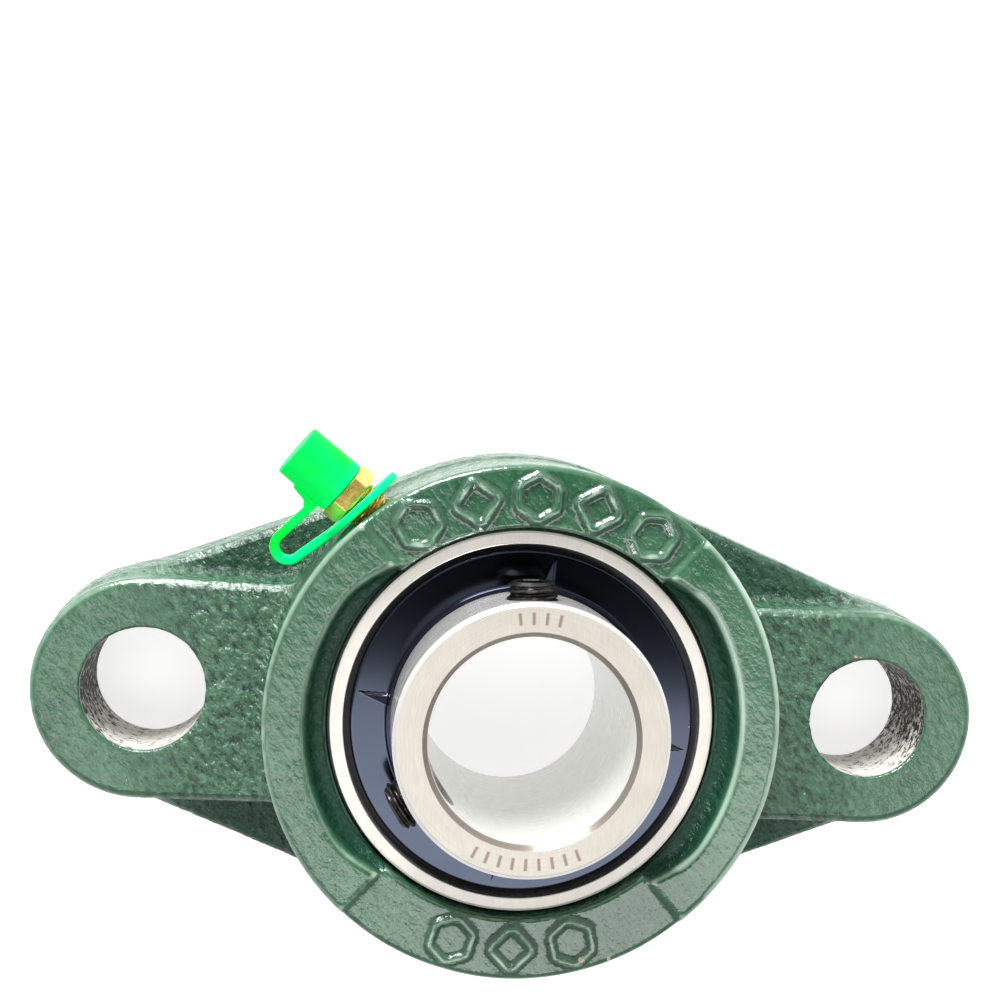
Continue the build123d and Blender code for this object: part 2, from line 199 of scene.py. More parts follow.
def rounded(points, radii, steps=5, hold=0.04):
    """Closed profile with each corner turned into an arc, and a point just beside each arc."""
    out = []
    count = len(points)
    for i, corner in enumerate(points):
        radius = radii[i] if isinstance(radii, (list, tuple)) else radii
        here = Vector(corner)
        before = Vector(points[i - 1]) - here
        after = Vector(points[(i + 1) % count]) - here
        angle = before.angle(after)
        reach = radius / math.tan(angle / 2) if radius else 0
        reach = min(reach, 0.45 * before.length, 0.45 * after.length)
        if reach < 1e-4 or angle > math.radians(176):
            out.append(tuple(here))
            continue
        radius = reach * math.tan(angle / 2)
        start = here + before.normalized() * reach
        end = here + after.normalized() * reach
        inward = (before.normalized() + after.normalized()).normalized()
        middle = here + inward * (radius / math.sin(angle / 2))
        out.append(tuple(start + before.normalized() * min(hold, 0.04 * before.length)))
        turn = (start - middle).angle_signed(end - middle)
        for step in range(steps + 1):
            share = step / steps
            spoke = start - middle
            c, s = math.cos(-turn * share), math.sin(-turn * share)
            out.append(tuple(middle + Vector((spoke.x * c - spoke.y * s, spoke.x * s + spoke.y * c))))
        out.append(tuple(end + after.normalized() * min(hold, 0.04 * after.length)))
    return out


def lathe(name, profile, place=insert, segments=240, smooth_angle=35):
    """Turn a closed profile of (radius, height) points about the Z of a place."""
    points, faces, rings = [], [], []
    for r, z in profile:
        if r < 1e-5:
            rings.append([len(points)])
            points.append(place @ Vector((0, 0, z)))
            continue
        start = len(points)
        for k in range(segments):
            a = 2 * math.pi * k / segments
            points.append(place @ Vector((r * math.cos(a), r * math.sin(a), z)))
        rings.append(list(range(start, start + segments)))
    count = len(rings)
    for i in range(count):
        low, high = rings[i], rings[(i + 1) % count]
        if len(low) == 1 and len(high) == 1:
            continue
        for k in range(segments):
            n = (k + 1) % segments
            if len(low) == 1:
                faces.append((low[0], high[n], high[k]))
            elif len(high) == 1:
                faces.append((low[k], low[n], high[0]))
            else:
                faces.append((low[k], low[n], high[n], high[k]))
    obj = mesh_from(name, points, faces, smooth_angle)
    fix_normals(obj)
    return obj


def fix_normals(obj):
    work = bmesh.new()
    work.from_mesh(obj.data)
    bmesh.ops.recalc_face_normals(work, faces=work.faces)
    work.to_mesh(obj.data)
    work.free()


def apply_modifiers(obj):
    """Make an object's modifiers part of its mesh."""
    shown = obj.evaluated_get(bpy.context.evaluated_depsgraph_get())
    mesh = bpy.data.meshes.new_from_object(shown)
    obj.modifiers.clear()
    obj.data = mesh


def cut(obj, tool):
    """Take the tool's volume out of an object."""
    boolean = obj.modifiers.new("cut", "BOOLEAN")
    boolean.operation = "DIFFERENCE"
    boolean.solver = "EXACT"
    boolean.object = tool
    apply_modifiers(obj)
    bpy.data.objects.remove(tool)


def adopt(obj, body, slot, material, *nodes):
    """Give a finished piece its material and body, and hide the CAD nodes it stands for. The slot is not
    used.
    """
    obj.data.materials.clear()
    obj.data.materials.append(material)
    if body:
        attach(obj, body)
    if nodes:
        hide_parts(*nodes)


# ---------------------------------------------------------------- material helpers
def new_material(name):
    material = bpy.data.materials.new(name)
    material.use_nodes = True
    tree = material.node_tree
    shader = tree.nodes["Principled BSDF"]
    return material, tree, shader


def add_node(tree, kind, **inputs):
    """A node with input values set by name. Spaces in names are written as underscores."""
    node = tree.nodes.new("ShaderNode" + kind)
    for key, value in inputs.items():
        node.inputs[key.replace("_", " ")].default_value = value
    return node


def place_coords(tree, scale=1.0, stretch=(1, 1, 1)):
    """Object coordinates in mm, times a scale along each axis."""
    coords = tree.nodes.new("ShaderNodeTexCoord")
    mapping = tree.nodes.new("ShaderNodeMapping")
    mapping.inputs["Scale"].default_value = [scale * s / MM for s in stretch]
    tree.links.new(coords.outputs["Object"], mapping.inputs["Vector"])
    return mapping.outputs["Vector"]


def noise_of(tree, vector, scale, detail=3.0, rough=0.5):
    node = add_node(tree, "TexNoise", Scale=scale, Detail=detail, Roughness=rough)
    tree.links.new(vector, node.inputs["Vector"])
    return node.outputs["Fac"]


def spread(tree, value, low, high, to_low=0.0, to_high=1.0):
    """Map a value from one range to another, clamped."""
    node = tree.nodes.new("ShaderNodeMapRange")
    node.inputs["From Min"].default_value = low
    node.inputs["From Max"].default_value = high
    node.inputs["To Min"].default_value = to_low
    node.inputs["To Max"].default_value = to_high
    tree.links.new(value, node.inputs["Value"])
    return node.outputs["Result"]


def maths(tree, operation, a, b=None):
    node = tree.nodes.new("ShaderNodeMath")
    node.operation = operation
    for socket, value in zip(node.inputs, (a, b)):
        if value is None:
            continue
        if isinstance(value, (int, float)):
            socket.default_value = value
        else:
            tree.links.new(value, socket)
    return node.outputs["Value"]


def blend_colours(tree, share, low, high):
    """Mix two colours, each a colour or a socket, by a socket or a number."""
    node = tree.nodes.new("ShaderNodeMix")
    node.data_type = "RGBA"
    for socket, value in ((node.inputs[0], share), (node.inputs[6], low), (node.inputs[7], high)):
        if isinstance(value, (int, float)):
            socket.default_value = value
        elif isinstance(value, tuple):
            socket.default_value = (*value, 1)
        else:
            tree.links.new(value, socket)
    return node.outputs[2]


def attribute_of(tree, name):
    node = tree.nodes.new("ShaderNodeAttribute")
    node.attribute_name = name
    return node.outputs["Fac"]


def bump(tree, shader, height, strength, distance):
    """Raise a shader's surface by a height socket. The distance is in mm."""
    node = add_node(tree, "Bump", Strength=strength, Distance=distance * MM)
    tree.links.new(height, node.inputs["Height"])
    tree.links.new(node.outputs["Normal"], shader.inputs["Normal"])


def facing_of(tree):
    """The X, Y and Z of the direction a face points in."""
    geometry = tree.nodes.new("ShaderNodeNewGeometry")
    facing = tree.nodes.new("ShaderNodeSeparateXYZ")
    tree.links.new(geometry.outputs["True Normal"], facing.inputs["Vector"])
    return facing.outputs


# ---------------------------------------------------------------- materials
def object_axes(tree):
    """Distance from the shaft axis, the angle round it and the height, in mm and radians."""
    coords = tree.nodes.new("ShaderNodeTexCoord")
    split = tree.nodes.new("ShaderNodeSeparateXYZ")
    tree.links.new(coords.outputs["Object"], split.inputs["Vector"])
    x, y, z = (maths(tree, "DIVIDE", split.outputs[i], MM) for i in range(3))
    squares = maths(tree, "ADD", maths(tree, "MULTIPLY", x, x), maths(tree, "MULTIPLY", y, y))
    return maths(tree, "SQRT", squares), maths(tree, "ARCTAN2", y, x), z


def band(tree, value, low, high, soft):
    """1 where a value lies between low and high, with soft edges."""
    rise = spread(tree, value, low - soft, low + soft)
    fall = spread(tree, value, high - soft, high + soft)
    return maths(tree, "SUBTRACT", rise, fall)


def turned_steel(name, face_tone, wall_tone, wall_metal=0.9):
    """Turned bearing steel: satin end faces, smoother walls, fine marks round the axis."""
    material, tree, shader = new_material(name)
    radius, angle, z = object_axes(tree)
    joined = tree.nodes.new("ShaderNodeCombineXYZ")
    tree.links.new(maths(tree, "MULTIPLY", radius, 7.0), joined.inputs["X"])
    tree.links.new(maths(tree, "MULTIPLY", angle, 2.5), joined.inputs["Y"])
    tree.links.new(maths(tree, "MULTIPLY", z, 7.0), joined.inputs["Z"])
    lines = noise_of(tree, joined.outputs["Vector"], 1.0, 3.0, 0.6)
    across = noise_of(tree, place_coords(tree, 1.0, (5.0, 0.5, 1.0)), 1.0, 3.0, 0.6)
    cloud = noise_of(tree, place_coords(tree, 0.22), 1.0, 4.0, 0.6)
    face = spread(tree, maths(tree, "ABSOLUTE", facing_of(tree)["Z"]), 0.85, 0.95)
    grain = blend_colours(tree, 0.5, lines, across)
    dull_tone = tuple(0.84 * c for c in face_tone)
    face_colour = blend_colours(tree, spread(tree, grain, 0.35, 0.65), dull_tone, face_tone)
    colour = blend_colours(tree, face, wall_tone, face_colour)
    stain = spread(tree, cloud, 0.4, 0.75, 0.0, 0.3)
    colour = blend_colours(tree, stain, colour, tuple(0.7 * c for c in face_tone))
    tree.links.new(colour, shader.inputs["Base Color"])
    metal = maths(tree, "SUBTRACT", wall_metal, maths(tree, "MULTIPLY", face, wall_metal - 0.45))
    tree.links.new(metal, shader.inputs["Metallic"])
    soft = maths(tree, "MULTIPLY", face, 0.2)
    gloss = maths(tree, "ADD", soft, spread(tree, lines, 0.2, 0.8, 0.2, 0.3))
    tree.links.new(gloss, shader.inputs["Roughness"])
    bump(tree, shader, grain, 0.2, 0.01)
    return material, tree, shader, colour


def collar_steel():
    """The inner ring: a ground face with etched ticks, and a darkened bore chamfer."""
    material, tree, shader, colour = turned_steel("ground_collar", (0.6, 0.56, 0.5), (0.66, 0.66, 0.64), 0.6)
    radius, angle, z = object_axes(tree)
    top = spread(tree, z, 35.0, 35.2)
    chamfer = maths(tree, "MULTIPLY", band(tree, radius, 12.6, 13.33, 0.04), top)
    colour = blend_colours(tree, maths(tree, "MULTIPLY", chamfer, 0.8), colour, (0.16, 0.12, 0.09))
    inner = spread(tree, radius, 12.75, 12.68)
    colour = blend_colours(tree, inner, colour, (0.8, 0.8, 0.76))
    ticks = None
    for middle, count in ((90.0, 4), (-90.0, 9)):
        turn = maths(tree, "SUBTRACT", angle, math.radians(middle))
        steps = maths(tree, "DIVIDE", turn, math.radians(6.2))
        inside = spread(tree, maths(tree, "ABSOLUTE", steps), count / 2, count / 2 - 0.02)
        cell = maths(tree, "FRACT", maths(tree, "ADD", steps, count / 2))
        bar = maths(tree, "MULTIPLY", band(tree, cell, 0.38, 0.62, 0.05), inside)
        ticks = bar if ticks is None else maths(tree, "MAXIMUM", ticks, bar)
    ticks = maths(tree, "MULTIPLY", ticks, band(tree, radius, 14.25, 15.75, 0.05))
    ticks = maths(tree, "MULTIPLY", ticks, top)
    colour = blend_colours(tree, maths(tree, "MULTIPLY", ticks, 0.75), colour, (0.2, 0.11, 0.07))
    tree.links.new(colour, shader.inputs["Base Color"])
    return material


def green_paint():
    """Glossy green enamel over a sand casting, with bare machined places, small chips, and painted light:
    painted highlights on lumps and convex edges, painted shade in creases, concave corners and recesses.
    """
    material, tree, shader = new_material("green_enamel")
    fine = place_coords(tree)
    rough_cast = attribute_of(tree, "rough")
    bare = attribute_of(tree, "bare")
    edge = attribute_of(tree, "edge")
    recess = attribute_of(tree, "recess")
    cloud = noise_of(tree, fine, 0.13, 4.0, 0.6)
    speck = noise_of(tree, fine, 1.6, 4.0, 0.65)
    slanted = tree.nodes.new("ShaderNodeMapping")
    slanted.vector_type = "TEXTURE"
    slanted.inputs["Rotation"].default_value = (0.0, 0.0, -0.9)
    slanted.inputs["Scale"].default_value = (1.7, 0.85, 1.2)
    tree.links.new(fine, slanted.inputs["Vector"])
    hammer = noise_of(tree, slanted.outputs["Vector"], 1.0, 3.5, 0.6)
    base = blend_colours(tree, spread(tree, cloud, 0.35, 0.68), (0.022, 0.09, 0.043), (0.043, 0.128, 0.067))
    # Painted highlight: the tops of the hammered lumps on rough casting are painted lighter green.
    share = spread(tree, rough_cast, 0.0, 1.0, 0.15, 0.45)
    lit = maths(tree, "MULTIPLY", spread(tree, hammer, 0.52, 0.66), share)
    base = blend_colours(tree, lit, base, (0.12, 0.25, 0.16))
    # Painted shade: the creases between the lumps are painted near black-green, mostly on rough casting.
    share = spread(tree, rough_cast, 0.0, 1.0, 0.1, 1.0)
    shade = maths(tree, "MULTIPLY", spread(tree, hammer, 0.48, 0.38), share)
    base = blend_colours(tree, shade, base, (0.004, 0.025, 0.014))
    # Painted highlight: convex edges are painted pale green in place of the glint along them.
    base = blend_colours(tree, spread(tree, edge, 0.36, 0.8, 0.0, 0.85), base, (0.5, 0.64, 0.53))
    # Painted shade: concave corners are painted darker.
    base = blend_colours(tree, spread(tree, edge, -0.15, -0.7, 0.0, 0.6), base, (0.005, 0.03, 0.015))
    # Painted shade: the crescent recesses and the web beside the hub are painted darker, and their
    # reflection is weakened below.
    base = blend_colours(tree, maths(tree, "MULTIPLY", recess, 0.85), base, (0.003, 0.03, 0.018))
    chip_field = noise_of(tree, fine, 0.42, 3.0, 0.5)
    chip = spread(tree, maths(tree, "ADD", chip_field, maths(tree, "MULTIPLY", edge, 0.05)), 0.745, 0.755)
    base = blend_colours(tree, chip, base, (0.5, 0.42, 0.32))
    # Bare iron: turning marks, plus painted light by facing: faces turned towards +Y are painted lighter,
    # faces towards -X a little lighter, and the rest painted near black.
    turned = noise_of(tree, place_coords(tree, 1.0, (0.8, 0.8, 1.3)), 1.3, 5.0, 0.75)
    facing = facing_of(tree)
    upward = spread(tree, facing["Y"], 0.2, 0.95, 0.0, 0.15)
    sideways = spread(tree, facing["X"], 0.0, -0.8, 0.0, 0.02)
    turning_and_painted_light = maths(tree, "ADD", turned, maths(tree, "ADD", upward, sideways))
    iron = blend_colours(tree, spread(tree, turning_and_painted_light, 0.53, 0.62), (0.012, 0.011, 0.01), (0.6, 0.58, 0.53))
    ragged = maths(tree, "MULTIPLY", maths(tree, "SUBTRACT", speck, 0.5), 0.9)
    bare_share = spread(tree, maths(tree, "ADD", bare, ragged), 0.45, 0.55)
    tree.links.new(blend_colours(tree, bare_share, base, iron), shader.inputs["Base Color"])
    tree.links.new(maths(tree, "MULTIPLY", bare_share, 0.15), shader.inputs["Metallic"])
    gloss = spread(tree, speck, 0.3, 0.7, 0.07, 0.16)
    gloss = maths(tree, "ADD", gloss, maths(tree, "MULTIPLY", bare_share, 0.45))
    tree.links.new(gloss, shader.inputs["Roughness"])
    level = spread(tree, bare_share, 0.0, 1.0, 0.95, 0.12)
    # Weaker reflection in the same painted-shade recesses.
    level = maths(tree, "MULTIPLY", level, spread(tree, recess, 0.0, 1.0, 1.0, 0.3))
    tree.links.new(level, shader.inputs["Specular IOR Level"])
    calm = spread(tree, edge, 0.15, 0.5, 1.0, 0.25)
    weight = maths(tree, "MULTIPLY", spread(tree, rough_cast, 0.0, 1.0, 0.07, 1.0), calm)
    height = maths(tree, "MULTIPLY", blend_colours(tree, 0.25, hammer, speck), weight)
    bump(tree, shader, height, 1.0, 1.1)
    return material


def slinger_blue():
    """Glossy blued sheet with a few dust specks and a darker rolled hub and rim."""
    material, tree, shader = new_material("blued_steel")
    radius = object_axes(tree)[0]
    cloud = noise_of(tree, place_coords(tree, 0.15), 1.0, 2.0)
    colour = blend_colours(tree, cloud, (0.043, 0.05, 0.072), (0.054, 0.063, 0.088))
    disc = band(tree, radius, 17.7, 21.85, 0.08)
    colour = blend_colours(tree, disc, (0.03, 0.032, 0.05), colour)
    dust = spread(tree, noise_of(tree, place_coords(tree), 0.9, 2.0, 0.4), 0.775, 0.785)
    tree.links.new(blend_colours(tree, dust, colour, (0.5, 0.55, 0.55)), shader.inputs["Base Color"])
    tree.links.new(maths(tree, "SUBTRACT", 1.0, dust), shader.inputs["Metallic"])
    tree.links.new(maths(tree, "ADD", maths(tree, "MULTIPLY", dust, 0.4), 0.12), shader.inputs["Roughness"])
    bump(tree, shader, noise_of(tree, place_coords(tree), 2.5, 2.0), 0.02, 0.02)
    return material


def plain_metal(name, colour, rough, vary=0.15, scale=1.0, metal=1.0):
    material, tree, shader = new_material(name)
    cloud = noise_of(tree, place_coords(tree), scale, 4.0)
    dark = tuple((1 - 2 * vary) * c for c in colour)
    tone = blend_colours(tree, spread(tree, cloud, 0.3, 0.7), dark, colour)
    tree.links.new(tone, shader.inputs["Base Color"])
    tree.links.new(spread(tree, cloud, 0.2, 0.8, rough - 0.05, rough + 0.08), shader.inputs["Roughness"])
    shader.inputs["Metallic"].default_value = metal
    bump(tree, shader, cloud, 0.15, 0.02)
    return material


def green_plastic():
    """Bright moulded polyethylene with a painted green glow, a cooler green on the strap."""
    material, tree, shader = new_material("green_polyethylene")
    cloud = noise_of(tree, place_coords(tree), 0.12, 2.0)
    along = tree.nodes.new("ShaderNodeVectorMath")
    along.operation = "DOT_PRODUCT"
    along.inputs[1].default_value = fitting_axis
    tree.links.new(place_coords(tree), along.inputs[0])
    start = fitting_origin.dot(fitting_axis)
    cool = spread(tree, along.outputs["Value"], start + 4.2, start + 6.5, 1.0, 0.0)
    cap = blend_colours(tree, spread(tree, cloud, 0.4, 0.6), (0.0, 0.78, 0.03), (0.0, 0.8, 0.11))
    colour = blend_colours(tree, cool, cap, (0.0, 0.8, 0.21))
    tree.links.new(colour, shader.inputs["Base Color"])
    tree.links.new(spread(tree, cloud, 0.3, 0.7, 0.38, 0.46), shader.inputs["Roughness"])
    shader.inputs["Subsurface Weight"].default_value = 0.15
    shader.inputs["Subsurface Radius"].default_value = (0.0003, 0.002, 0.0006)
    shader.inputs["Specular IOR Level"].default_value = 0.06
    # Painted glow: the plastic gives off a little green light of its own.
    shader.inputs["Emission Color"].default_value = (0.0, 1.0, 0.08, 1)
    shader.inputs["Emission Strength"].default_value = 0.15
    bump(tree, shader, noise_of(tree, place_coords(tree), 0.8, 2.0), 0.1, 0.05)
    return material


def rubber_black():
    material, tree, shader = new_material("seal_rubber")
    cloud = noise_of(tree, place_coords(tree), 1.5, 3.0)
    colour = blend_colours(tree, cloud, (0.012, 0.012, 0.013), (0.03, 0.03, 0.032))
    tree.links.new(colour, shader.inputs["Base Color"])
    tree.links.new(spread(tree, cloud, 0.3, 0.7, 0.5, 0.65), shader.inputs["Roughness"])
    bump(tree, shader, cloud, 0.1, 0.02)
    return material


def floor_white():
    """White sweep that glows like a light table."""
    material, tree, shader = new_material("white_sweep")
    cloud = noise_of(tree, place_coords(tree, 0.01), 1.0, 2.0)
    colour = blend_colours(tree, cloud, (0.55, 0.55, 0.55), (0.6, 0.6, 0.6))
    tree.links.new(colour, shader.inputs["Base Color"])
    shader.inputs["Roughness"].default_value = 0.7
    shader.inputs["Emission Color"].default_value = (1, 1, 1, 1)
    shader.inputs["Emission Strength"].default_value = 0.66
    return material


steel_ring = turned_steel("turned_ring", (0.78, 0.74, 0.68), (0.9, 0.88, 0.85))[0]
steel_collar = collar_steel()
steel_sheet = plain_metal("pressed_steel", (0.5, 0.49, 0.47), 0.32)
# Near-black seal core: dark steel, and also painted shade for the narrow gap beside the slinger where it
# shows.
steel_seal = plain_metal("seal_steel", (0.04, 0.04, 0.045), 0.4)
steel_ball = plain_metal("polished_ball", (0.82, 0.82, 0.84), 0.08, 0.03)
steel_black = plain_metal("black_oxide", (0.055, 0.053, 0.05), 0.3, 0.25, 2.0)
brass = plain_metal("brass", (0.86, 0.56, 0.16), 0.22, 0.1, 1.2, 0.75)
paint = green_paint()
slinger_coat = slinger_blue()
plastic = green_plastic()
rubber = rubber_black()


# ---------------------------------------------------------------- housing as a smooth casting
class Lattice:
    """Seeded value noise that numpy evaluates for many points at once."""

    def __init__(self, seed):
        self.table = np.random.default_rng(seed).uniform(-1, 1, (64, 64, 64))

    def at(self, points, size):
        q = points / size
        cell = np.floor(q).astype(int)
        f = q - cell
        f = f * f * (3 - 2 * f)
        total = np.zeros(len(points))
        for dx in (0, 1):
            wx = f[:, 0] if dx else 1 - f[:, 0]
            for dy in (0, 1):
                wy = f[:, 1] if dy else 1 - f[:, 1]
                for dz in (0, 1):
                    wz = f[:, 2] if dz else 1 - f[:, 2]
                    i, j, k = ((cell[:, n] + d) % 64 for n, d in enumerate((dx, dy, dz)))
                    total += wx * wy * wz * self.table[i, j, k]
        return total


lumps = Lattice(11)
grit_noise = Lattice(12)


def peened(p):
    """Relief of sand-cast iron under thick enamel: rounded lumps with narrow creases between them."""
    skewed = p @ np.array([[0.8, 0.5, 0], [-0.35, 1.0, 0], [0, 0, 1.0]])
    coarse = 1 - np.abs(lumps.at(skewed, 1.7)) * 2.2
    fine = 1 - np.abs(grit_noise.at(skewed, 1.05)) * 2.0
    return -0.1 * np.clip(coarse, 0, 1) ** 2 - 0.12 * np.clip(fine, 0, 1) ** 2 + 0.035 * lumps.at(p, 3.4)


def soft_min(a, b, k):
    h = np.clip(0.5 + 0.5 * (b - a) / k, 0, 1)
    return b + (a - b) * h - k * h * (1 - h)


def soft_max(a, b, k):
    return -soft_min(-a, -b, k)


def ramp(value, low, high):
    t = np.clip((value - low) / (high - low), 0, 1)
    return t * t * (3 - 2 * t)


def prism(outline, z, top, edge):
    """Distance to a prism below a top height, from a distance in plan, with its top edge rounded."""
    side = outline + edge
    lid = z - top + edge
    outside = np.hypot(np.maximum(side, 0), np.maximum(lid, 0))
    return outside + np.minimum(np.maximum(side, lid), 0) - edge


def tapered_hull(x, y, big, small, apart):
    """Plan distance to the hull of a centre circle and two smaller ones on X."""
    x, y = np.abs(x), np.abs(y)
    slope = (big - small) / apart
    level = math.sqrt(1 - slope * slope)
    along = -slope * y + level * x
    side = level * y + slope * x - big
    near = np.hypot(x, y) - big
    far = np.hypot(x - apart, y) - small
    return np.where(along < 0, near, np.where(along > level * apart, far, side))


MARK_R = 28.9
MARK_STEP = 15.5
SECTOR_HALF = 41.5
SECTOR_DROP = 0.45
MARK_H = 0.6


def polygon_line(x, y, sides, size, turn, corner=0.7):
    """Distance to a regular polygon with rounded corners. Its corners lie near size, one at turn."""
    wedge = 2 * math.pi / sides
    folded = np.mod(np.arctan2(y, x) - turn, wedge) - wedge / 2
    r = np.hypot(x, y)
    inside = size * math.cos(wedge / 2) - corner
    across = r * np.cos(folded) - inside
    past = np.abs(r * np.sin(folded)) - inside * math.tan(wedge / 2)
    return np.where(past < 0, across, np.hypot(across, past)) - corner


def face_height(x, y):
    """Height of the hub face: plain sides, lowered label sectors, and the raised marks on them."""
    r = np.hypot(x, y)
    off_y = np.degrees(np.abs(np.arctan2(x, np.abs(y))))
    edge = (SECTOR_HALF - off_y) * np.radians(1) * r
    lowered = ramp(edge, -0.3, 0.45)
    height = HUB_H - SECTOR_DROP * lowered
    for middle, count in ((90, 5), (270, 3)):
        for index in range(count):
            turn = math.radians(middle + (index - (count - 1) / 2) * MARK_STEP)
            u = x * math.cos(turn) + y * math.sin(turn) - MARK_R
            v = -x * math.sin(turn) + y * math.cos(turn)
            sides, start = (6, math.radians(30)) if index % 2 == 0 else (4, 0.0)
            line = polygon_line(v, u, sides, 2.9, start)
            height = height + MARK_H * ramp(0.62 - np.abs(line), 0.0, 0.38) * (np.hypot(u, v) < 5)
    return height


CRESCENT_R = 27.9
CRESCENT_FLOOR = 24.0
CRESCENT_CORNER = CRESCENT_R * heading(40.0)
CRESCENT_TIP = 26.1 * heading(49.5)


def crescent(x, y):
    """Plan distance to the two crescent recesses."""
    x, y = np.abs(x), np.abs(y)
    along = (CRESCENT_TIP - CRESCENT_CORNER).normalized()
    side = (x - CRESCENT_CORNER.x) * along.y - (y - CRESCENT_CORNER.y) * along.x
    end = (y * CRESCENT_TIP.x - x * CRESCENT_TIP.y) / CRESCENT_TIP.length
    return soft_max(soft_max(np.hypot(x, y) - CRESCENT_R, side, 2.2), end, 0.6)


def housing_distance(p):
    """Signed distance, in mm, to the finished casting."""
    x, y, z = p[:, 0], p[:, 1], p[:, 2]
    r = np.hypot(x, y)
    slope = z * DRAFT
    web = prism(tapered_hull(x, y, WEB_HUB_R, WEB_EAR_R, EAR_X) + slope, z, WEB_H, 0.8)
    bar_x = np.maximum(np.abs(x) - EAR_X, 0)
    pad = prism(np.hypot(bar_x, y) - PAD_R + slope, z, PAD_H, 0.8)
    hub = prism(r - HUB_BASE_R + z * HUB_DRAFT, z, face_height(x, y), 0.7)
    solid = soft_min(soft_min(web, pad, 1.6), hub, 2.0)
    wall = crescent(x, y) + (HUB_H - z) * math.tan(math.radians(22))
    recess = soft_max(wall, CRESCENT_FLOOR - z, 1.0)
    solid = soft_max(solid, -recess, 0.5)
    seat = np.sqrt(r * r + (z - SEAT_Z) ** 2) - RING_R - 0.06
    front = np.maximum(r - FRONT_BORE_R, SEAT_Z - z)
    rear = np.maximum(r - REAR_BORE_R, z - SEAT_Z)
    slots = np.maximum(np.maximum(r - SLOT_R, np.abs(y) - SLOT_HALF), z - SEAT_Z)
    hollow = np.minimum(np.minimum(seat, front), np.minimum(rear, slots))
    solid = soft_max(solid, -hollow, 0.35)
    hole = BOLT_R - np.hypot(np.abs(x) - EAR_X, y)
    solid = soft_max(solid, hole, 0.35)
    q = (p - np.array(fitting_origin)) @ np.array(fitting.to_3x3())
    port = np.maximum(np.hypot(q[:, 0], q[:, 1]) - 2.99, np.maximum(-5.6 - q[:, 2], q[:, 2] - 3))
    solid = soft_max(solid, -port, 0.25)
    return soft_max(solid, -z, 0.3)


def slope_of(p, step=0.02):
    """Outward direction of the distance field."""
    grad = np.empty_like(p)
    for axis in range(3):
        shift = np.zeros(3)
        shift[axis] = step
        grad[:, axis] = housing_distance(p + shift) - housing_distance(p - shift)
    return grad / np.maximum(np.linalg.norm(grad, axis=1, keepdims=True), 1e-9)


def regions(p):
    """How rough the casting is, how bare of paint, and how much painted shade each point gets in the
    crescent recesses and on the web beside the hub: 0 to 1.
    """
    x, y, z = p[:, 0], p[:, 1], p[:, 2]
    r = np.hypot(x, y)
    hub_face = ramp(z, 25.2, 26.2)
    hub_side = ramp(r, 34.6, 33.6) * ramp(z, 14.5, 16.5) * (1 - hub_face)
    worn = ramp(-x, 2, 24)
    smooth_end = ramp(np.abs(x), 40, 54) * ramp(z, 9, 12)
    rough = 0.85 - 0.6 * smooth_end - (0.8 - 0.12 * worn) * hub_face - 0.3 * hub_side
    hole = np.hypot(np.abs(x) - EAR_X, y)
    in_hole = ramp(hole, 8.55, 8.3) * ramp(z, 13.2, 12.5)
    seat = ramp(r, 25.1, 24.95) * ramp(z, 24.3, 23.9) + ramp(r, 26.4, 26.2) * ramp(z, 17.5, 16.5)
    bottom = ramp(z, 0.12, 0.04)
    bare = np.clip(in_hole + seat + bottom, 0, 1)
    # Painted shade mask: the crescent recesses, and the web top next to the hub.
    recess = ramp(crescent(x, y), 0.3, -0.5) * ramp(z, 26.6, 25.9)
    recess = (recess + 0.7 * ramp(z, 9.2, 8.2) * ramp(z, 6.4, 7.2) * ramp(r, 54, 40)) * (1 - bare)
    return np.clip(rough, 0, 1) * (1 - bare), bare, recess


def store(mesh, name, values):
    layer = mesh.attributes.new(name, "FLOAT", "POINT")
    layer.data.foreach_set("value", values.astype(np.float32))


